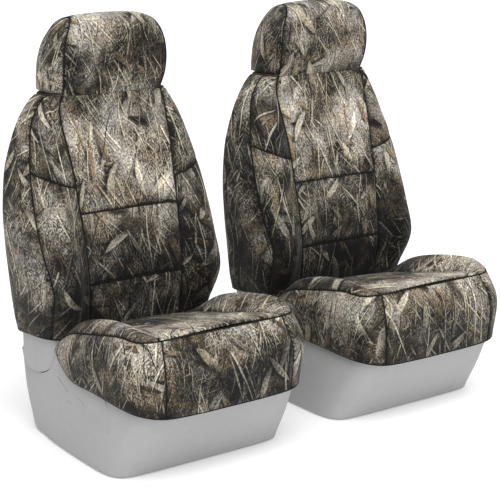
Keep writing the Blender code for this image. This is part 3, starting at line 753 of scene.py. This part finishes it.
def place_mesh(mesh, name, part_body, material, replaced=(), slot=None, fill=None):
    """Puts a copy of one seat's mesh on each seat, riding on part_body there."""
    for side, centre in SEAT_X.items():
        copy = mesh.copy()
        copy.name = f"{side}_{name}"
        copy.transform(Matrix.Translation((centre, DEPTH_SHIFT, 0)))
        if side == "right" and "print" in copy.uv_layers:
            shift_print(copy, RIGHT_SEAT_PRINT)
        copy.materials.clear()
        copy.materials.append(MATERIALS[material])
        obj = bpy.data.objects.new(f"{side}_{name}", copy)
        bpy.context.scene.collection.objects.link(obj)
        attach(obj, "root" if part_body == "root" else f"{side}_{part_body}")
        if replaced:
            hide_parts(*[f"{side}_{node}" for node in replaced])
    bpy.data.meshes.remove(mesh)


def shift_print(mesh, move):
    """Moves the print under the panel, so the two seats aren't cut from the same cloth."""
    layer = mesh.uv_layers["print"]
    uv = np.zeros(len(mesh.loops) * 2)
    layer.data.foreach_get("uv", uv)
    layer.data.foreach_set("uv", (uv.reshape(-1, 2) + move).ravel())


# ---------------------------------------------------------------- cover panels

# Each part of the cover: its body, its surface, and a point inside it.
BACK = ("back", back_surface, (0, 0.11, 0.60))
BAND = ("back", band_surface, (0, 0.16, 1.03))
CENTRE = ("root", centre_surface, (0, -0.15, 0.22))
SKIRT = ("root", skirt_surface, (0, -0.15, 0.22))
BOLSTER = ("root", bolster_surface, (0, -0.15, 0.22))
ZIP_SLIT = (0.0045, 0.742)                   # half width and top


def turn_of(side):
    """u on the named side of the back section."""
    return (lambda u: u) if side == "right" else (lambda u: RING - u)


def fade(axis, places, tones):
    """Painted light and shade that follow one coordinate of the point."""
    return lambda point: np.interp(point[..., axis], places, tones)


# Painted light and shade on the print: lighter higher up and towards the front, darker low down and towards
# the hollow between the back and the cushion
BACK_PLACES = (0.30, 0.40, 0.50, 0.62, 0.70, 0.80, 0.88, 0.94)
CENTRE_SHADING = fade(2, BACK_PLACES, (-0.40, -0.26, -0.14, -0.04, 0.12, 0.15, 0.04, 0.0))
BOLSTER_SHADING = fade(2, BACK_PLACES, (-0.34, -0.27, -0.20, -0.11, -0.04, -0.06, -0.03, -0.02))
SIDE_SHADING = fade(2, BACK_PLACES, (-0.26, -0.20, -0.14, -0.10, -0.06, -0.02, 0.0, 0.0))
HEADREST_SHADING = fade(2, (0.94, 1.00, 1.10, 1.15), (-0.06, -0.02, 0.0, 0.05))
TOP_SHADING = fade(1, (-0.40, -0.36, -0.22, -0.08, -0.02), (0.18, 0.14, 0.02, -0.22, -0.42))
SKIRT_SHADING = fade(2, (0.19, 0.26, 0.34, 0.38), (-0.22, -0.12, 0.02, 0.14))


def cover_panel(name, part, u_ends, v_ends, painted_shading, **look):
    """Makes a panel of the print and puts it on both seats in place of the CAD panel."""
    body, surface, inside = part
    mesh = padded_mesh(name, surface, u_ends, v_ends, inside, painted_shading, **look)
    place_mesh(mesh, name, body, "camo", [name], "camo_fabric", fill=0.5)


def back_cover():
    front = (RING - 1, RING + 1)
    hem = {"open_edges": ("low",)}
    neck = {"open_edges": ("high",)}
    cover_panel("back_lower_panel", BACK, front, (0, LOWER_SEAM), CENTRE_SHADING, **hem)
    cover_panel("back_middle_panel", BACK, front, (LOWER_SEAM, UPPER_SEAM), CENTRE_SHADING)
    cover_panel("back_upper_panel", BACK, front, (UPPER_SEAM, TOP_ROW), CENTRE_SHADING, **neck)
    for side in ("left", "right"):
        turn = turn_of(side)
        bolster = (turn(1), turn(3))
        cover_panel("bolster_lower_" + side, BACK, bolster, (0, diagonal), BOLSTER_SHADING, **hem)
        cover_panel("bolster_upper_" + side, BACK, bolster, (diagonal, TOP_ROW), BOLSTER_SHADING)
        cover_panel("back_gusset_" + side, BACK, (turn(3), turn(5)), (0, TOP_ROW), SIDE_SHADING, **hem)
    cover_panel("back_rear_panel", BACK, (5, 7), (0, TOP_ROW), SIDE_SHADING, crown=0.0,
                zip_slit=ZIP_SLIT, **hem)


def headrest_cover():
    across = (-1, 1)
    cover_panel("headrest_front_panel", BAND, across, (-NECK_LAP, HEADREST_SEAM), HEADREST_SHADING,
                open_edges=("low",))
    cover_panel("headrest_rear_panel", BAND, across, (HEADREST_SEAM, BAND_END), HEADREST_SHADING)
    for side, sign in (("left", -1), ("right", 1)):
        gusset = ("back", lambda r, t, sign=sign: headrest_gusset_surface(sign, r, t), BAND[2])
        cover_panel("headrest_gusset_" + side, gusset, (0, 1), (0, GUSSET_TOP), HEADREST_SHADING)


def cushion_cover():
    hem = {"open_edges": ("low",)}
    cover_panel("cushion_top_panel", CENTRE, (-1, 1), (FRONT_SEAM - 1, LAST_SPOKE), TOP_SHADING,
                open_edges=("high",))
    cover_panel("cushion_front_panel", SKIRT, (-FRONT_SEAM, FRONT_SEAM), (0, 2), SKIRT_SHADING, **hem)
    for side, sign in (("left", -1), ("right", 1)):
        last = sign * LAST_SPOKE
        cover_panel("cushion_side_" + side, SKIRT, (sign * FRONT_SEAM, last), (0, 2), SKIRT_SHADING, **hem)
        cover_panel("cushion_bolster_" + side, BOLSTER, (sign * BOLSTER_START, last), (0, 2), TOP_SHADING)


# ---------------------------------------------------------------- piping and hems


def piping(name, lines, radius=PIPING_RADIUS, material="piping", lift=PIPING_LIFT, **kind):
    """One piece of tubes, one along each (part, u, v) line of one body."""
    tubes = []
    for number, ((body, surface, inside), u, v) in enumerate(lines):
        points, normals = seam_line(surface, u, v, inside, lift)
        tubes.append(tube_mesh(f"{name}_{number}", points, normals, radius))
    place_mesh(joined(name, tubes), name, body, material, **kind)


def back_piping():
    lines = [(BACK, (RING - 1, RING + 1), (row, row)) for row in (LOWER_SEAM, UPPER_SEAM)]
    for side in ("left", "right"):
        turn = turn_of(side)
        lines += [(BACK, (turn(seam), turn(seam)), (0, TOP_ROW)) for seam in (1, 3, 5)]
        lines.append((BACK, (turn(1), turn(3)), diagonal))
    piping("back_piping", lines)


def headrest_piping():
    lines = [(BAND, (sign, sign), (0, BAND_END)) for sign in (-1, 1)]
    lines.append((BAND, (-1, 1), (HEADREST_SEAM, HEADREST_SEAM)))
    piping("headrest_piping", lines)
    # the crease between the two parts of the cover, at the sides and behind, as a dark tube whose colour is
    # painted shade in the fold
    neck = (BACK, (1, RING - 1), (TOP_ROW + 0.12, TOP_ROW + 0.12))
    piping("neck_crease", [neck], CREASE_RADIUS, "crease_shade", CREASE_LIFT)


def cushion_piping():
    lines = [(SKIRT, (-FRONT_SEAM, FRONT_SEAM), (2, 2))]
    for sign in (-1, 1):
        seam, last = sign * FRONT_SEAM, sign * LAST_SPOKE
        lines += [(SKIRT, (seam, seam), (0, 2)), (SKIRT, (seam, last), (2, 2)),
                  (BOLSTER, (seam, last), (2, 2))]
    piping("cushion_piping", lines)


def hems():
    cushion = (SKIRT, (-LAST_SPOKE, LAST_SPOKE), (-0.02, -0.02))
    piping("cushion_hem", [cushion], HEM_RADIUS, "elastic", HEM_LIFT,
           replaced=["cushion_hem_elastic"], slot="elastic")
    # round the sides and the rear, from one inner seam to the other
    back = (BACK, (RING + 1.1, 2 * RING - 1.1), (-0.04, -0.04))
    piping("back_hem", [back], HEM_RADIUS, "elastic", HEM_LIFT,
           replaced=["back_hem_elastic"], slot="elastic")


# ---------------------------------------------------------------- seat forms


def ring_line(points, count):
    """A closed smooth ring of count points through the half outline and its mirror image."""
    half = np.asarray(points, float)
    ring = np.concatenate([half, half[-2:0:-1] * (-1, 1, 1)])
    size = len(ring)
    t = np.arange(count) * size / count
    cell = np.floor(t).astype(int)
    near = np.stack([ring[(cell + step) % size] for step in (-1, 0, 1, 2)])
    return spline(near, 1 + t - cell)


def inset_ring(ring, distance):
    """The ring moved inwards, square to its own line as seen from above."""
    along = np.roll(ring, -1, 0) - np.roll(ring, 1, 0)
    inward = np.stack([-along[:, 1], along[:, 0], 0 * along[:, 0]], -1)
    inward /= np.maximum(np.linalg.norm(inward, axis=-1, keepdims=True), 1e-9)
    return ring + inward * distance


def loft_mesh(name, rings, close_across=False):
    """A closed mesh through rings of equal length; close_across ends it with rungs."""
    count = len(rings[0])
    faces = []
    for i in range(len(rings) - 1):
        for j in range(count):
            a, b = i * count + j, i * count + (j + 1) % count
            faces.append((a, b, b + count, a + count))
    faces.append(tuple(range(count))[::-1])
    top = (len(rings) - 1) * count
    if close_across:
        for i in range(count // 2):
            rung = [top + i, top + i + 1, top + (count - i - 1), top + (count - i) % count]
            faces.append(tuple(dict.fromkeys(rung)))
    else:
        faces.append(tuple(top + j for j in range(count)))
    mesh = bpy.data.meshes.new(name)
    mesh.from_pydata(np.concatenate(rings).tolist(), [], faces)
    bm = bmesh.new()
    bm.from_mesh(mesh)
    bmesh.ops.recalc_face_normals(bm, faces=bm.faces)
    bm.to_mesh(mesh)
    bm.free()
    return mesh


def between(rings, steps):
    """Smooth rings between the given ones."""
    stack = np.stack(rings)
    levels = np.linspace(0, len(rings) - 1, steps)
    return [spline(stack, np.full(stack.shape[1], level)) for level in levels]


def cut(mesh, *cutters):
    """mesh with each cutter mesh taken out of it."""
    obj = bpy.data.objects.new("cut", mesh)
    bpy.context.scene.collection.objects.link(obj)
    tools = []
    for cutter in cutters:
        tool = bpy.data.objects.new("tool", cutter)
        bpy.context.scene.collection.objects.link(tool)
        tools.append(tool)
        modifier = obj.modifiers.new("cut", "BOOLEAN")
        modifier.operation = "DIFFERENCE"
        modifier.object = tool
    graph = bpy.context.evaluated_depsgraph_get()
    result = bpy.data.meshes.new_from_object(obj.evaluated_get(graph))
    for thing in (obj, *tools):
        data = thing.data
        bpy.data.objects.remove(thing)
        bpy.data.meshes.remove(data)
    result.shade_smooth()
    result.set_sharp_from_angle(angle=SHARP_ANGLE)
    return result


def rod_mesh(radius, length, segments=128):
    """A cylinder along X on the recline axis."""
    mesh = bpy.data.meshes.new("rod")
    bm = bmesh.new()
    bmesh.ops.create_cone(bm, cap_ends=True, segments=segments, radius1=radius, radius2=radius,
                          depth=length)
    turn = Matrix.Rotation(math.pi / 2, 3, "Y")
    bmesh.ops.rotate(bm, cent=(0, 0, 0), matrix=turn, verts=bm.verts)
    bmesh.ops.translate(bm, vec=(0, HINGE_Y, HINGE_Z), verts=bm.verts)
    bm.to_mesh(mesh)
    bm.free()
    return mesh


def box_mesh(size, centre):
    mesh = bpy.data.meshes.new("box")
    bm = bmesh.new()
    bmesh.ops.create_cube(bm, size=1)
    bmesh.ops.scale(bm, vec=size, verts=bm.verts)
    bmesh.ops.translate(bm, vec=centre, verts=bm.verts)
    bm.to_mesh(mesh)
    bm.free()
    return mesh


def base_form():
    spokes = np.concatenate([CUSHION_SPOKES, REAR_SPOKES])
    count = 176
    floor = ring_line([(x, y, 0) for x, y in FLOOR_OUTLINE], count)
    levels = [ring_line(spokes[:, level], count) for level in range(5)]
    under_hem = inset_ring(levels[0], FORM_INSET)
    rings = []
    for angle in np.linspace(0, math.pi / 2, 6):
        rounded = inset_ring(floor, FOOT_ROUND * (1 - math.sin(angle)))
        rings.append(rounded + (0, 0, FOOT_ROUND * (1 - math.cos(angle))))
    foot = rings[-1]
    belly = inset_ring(0.5 * foot + 0.5 * under_hem, -WALL_BULGE)
    wall = between([foot, belly, under_hem], 12)
    rings += wall[1:]
    rings.append(inset_ring(levels[1], FORM_INSET))
    rings.append(inset_ring(levels[2], FORM_INSET) - (0, 0, FORM_INSET))
    rings += [level - (0, 0, FORM_INSET) for level in levels[3:]]
    mesh = loft_mesh("base_form", rings, close_across=True)
    mesh = cut(mesh, rod_mesh(TROUGH_RADIUS, PAST_SEAT), box_mesh(POCKET, (0, HINGE_Y, POCKET_MIDDLE)))
    place_mesh(mesh, "base_form_shell", "root", "form", ["base_form"], "seat_form")


LEVERS = (
    # y and z of the rear end, length forwards, drop, and how late the curve turns down
    (0.100, 0.200, 0.060, 0.025, 1.0),
    (0.040, 0.150, 0.020, 0.000, 1.0),
    (-0.010, 0.170, 0.040, 0.015, 2.0),
    (-0.130, 0.200, 0.040, 0.080, 3.0),
)
LEVER_RADIUS = 0.0018


def lever_relief():
    """Faint raised outlines of levers on the outer side of the left seat's base."""
    base = bpy.data.objects["left_base_form_shell"]
    tubes = []
    for number, (rear, top, length, drop, turn) in enumerate(LEVERS):
        wall = []
        for part in np.linspace(0, 1, 24):
            start = Vector((-1, rear - length * part, top - drop * part ** turn))
            wall.append(base.ray_cast(start, Vector((1, 0, 0)))[1])
        away = np.tile((-1.0, 0.0, 0.0), (len(wall), 1))
        tubes.append(tube_mesh(f"lever_{number}", wall, away, LEVER_RADIUS))
    mesh = joined("left_lever_relief", tubes)
    mesh.materials.append(MATERIALS["form"])
    obj = bpy.data.objects.new("left_lever_relief", mesh)
    bpy.context.scene.collection.objects.link(obj)
    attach(obj, "root")


def back_form():
    around = np.linspace(0, RING, 120, endpoint=False)
    rows = [back_surface(around, np.full(around.shape, v)) for v in np.linspace(0, TOP_ROW, 28)]
    foot = rows[0].copy()
    foot[:, 2] = HINGE_Z - BARREL_RADIUS - 0.01
    rings = [inset_ring(ring, FORM_INSET) for ring in [foot] + rows]
    mesh = loft_mesh("back_form", rings)
    # everything under the recline axis but the barrel
    under = box_mesh((0.7, 0.4, 0.2), (0, HINGE_Y, HINGE_Z - 0.1))
    trimmer = cut(under, rod_mesh(BARREL_RADIUS, PAST_SEAT))
    slot = box_mesh(BRACKET_SLOT, (0, HINGE_Y, SLOT_TOP - BRACKET_SLOT[2] / 2))
    mesh = cut(mesh, trimmer, slot, rod_mesh(*SHAFT_BORE, 48))
    place_mesh(mesh, "back_form_shell", "back", "form", ["back_form"], "seat_form")


# ---------------------------------------------------------------- zipper

ZIP_FACE = 0.2225                            # the chain's front, in the seat's own frame
ZIP_BOTTOM = 0.345
ZIP_TOP = 0.740
TOOTH_PITCH = 0.0025
TOOTH = (0.0036, 0.0018, 0.0013)
TAPE = (0.013, 0.0008)


def zipper_chain():
    """Two tapes and their interlocking teeth."""
    parts = []
    middle = (ZIP_BOTTOM + ZIP_TOP) / 2
    for side in (-1, 1):
        width, thickness = TAPE
        parts.append(box_mesh((width, thickness, ZIP_TOP - ZIP_BOTTOM),
                              (side * (width / 2 + 0.0004), ZIP_FACE, middle)))
        first = ZIP_BOTTOM + (0.5 if side > 0 else 1.0) * TOOTH_PITCH
        for number in range(int((ZIP_TOP - ZIP_BOTTOM) / TOOTH_PITCH) - 1):
            parts.append(box_mesh(TOOTH, (side * 0.0011, ZIP_FACE + 0.001, first + number * TOOTH_PITCH)))
    place_mesh(joined("zipper_teeth", parts), "zipper_teeth", "back", "nylon", ["zipper_chain"], "nylon")


# ---------------------------------------------------------------- carried-over hardware


def finish_hardware():
    kinds = {"recliner_bracket": "steel", "recliner_shaft": "steel",
             "zipper_slider": "zinc", "zipper_pull": "zinc"}
    for side in SEAT_X:
        for node, kind in kinds.items():
            obj = frame["nodes"][f"{side}_{node}"]
            obj.data.materials.clear()
            obj.data.materials.append(MATERIALS[kind])


# ---------------------------------------------------------------- camera, floor and light


def look_at(obj, target):
    obj.rotation_euler = (Vector(target) - obj.location).to_track_quat("-Z", "Y").to_euler()


def stage_set():
    camera = bpy.data.objects.new("camera", bpy.data.cameras.new("camera"))
    bpy.context.scene.collection.objects.link(camera)
    camera.location = (-2.7361, -3.4446, 1.4948)
    look_at(camera, (-0.0345, 0.0009, 0.5))
    camera.data.sensor_width = 36
    camera.data.lens = 114.6
    camera.data.shift_x = -0.008
    camera.data.shift_y = 0.0024
    bpy.context.scene.camera = camera

    bpy.ops.mesh.primitive_plane_add(size=60, location=(0, 0, -0.0005))
    floor = bpy.context.object
    floor.name = "floor"
    material = bpy.data.materials.new("pale_floor")
    material.use_nodes = True
    shader = material.node_tree.nodes["Principled BSDF"]
    shader.inputs["Base Color"].default_value = (0.9, 0.9, 0.9, 1)
    shader.inputs["Roughness"].default_value = 0.9
    shader.inputs["Specular IOR Level"].default_value = 0.1
    shader.inputs["Emission Color"].default_value = (1, 1, 1, 1)
    shader.inputs["Emission Strength"].default_value = 0.16
    floor.data.materials.append(material)

    suns = (
        # name, direction it comes from, strength, angle
        ("key", (-0.45, -0.75, 1.25), 2.3, 50),
        ("top", (0.25, -0.10, 1.0), 1.1, 70),
    )
    for name, source, strength, angle in suns:
        data = bpy.data.lights.new(name, "SUN")
        data.energy = strength
        data.angle = math.radians(angle)
        light = bpy.data.objects.new(name, data)
        bpy.context.scene.collection.objects.link(light)
        light.location = Vector(source) * 4
        look_at(light, (0, 0, 0))
    world = bpy.data.worlds.new("studio")
    world.use_nodes = True
    background = world.node_tree.nodes["Background"]
    background.inputs[0].default_value = (1, 1, 1, 1)
    background.inputs[1].default_value = 0.32
    bpy.context.scene.world = world
    bpy.context.scene.view_settings.view_transform = "Standard"


stage_set()
base_form()
lever_relief()
back_form()
back_cover()
headrest_cover()
cushion_cover()
back_piping()
headrest_piping()
cushion_piping()
hems()
zipper_chain()
finish_hardware()
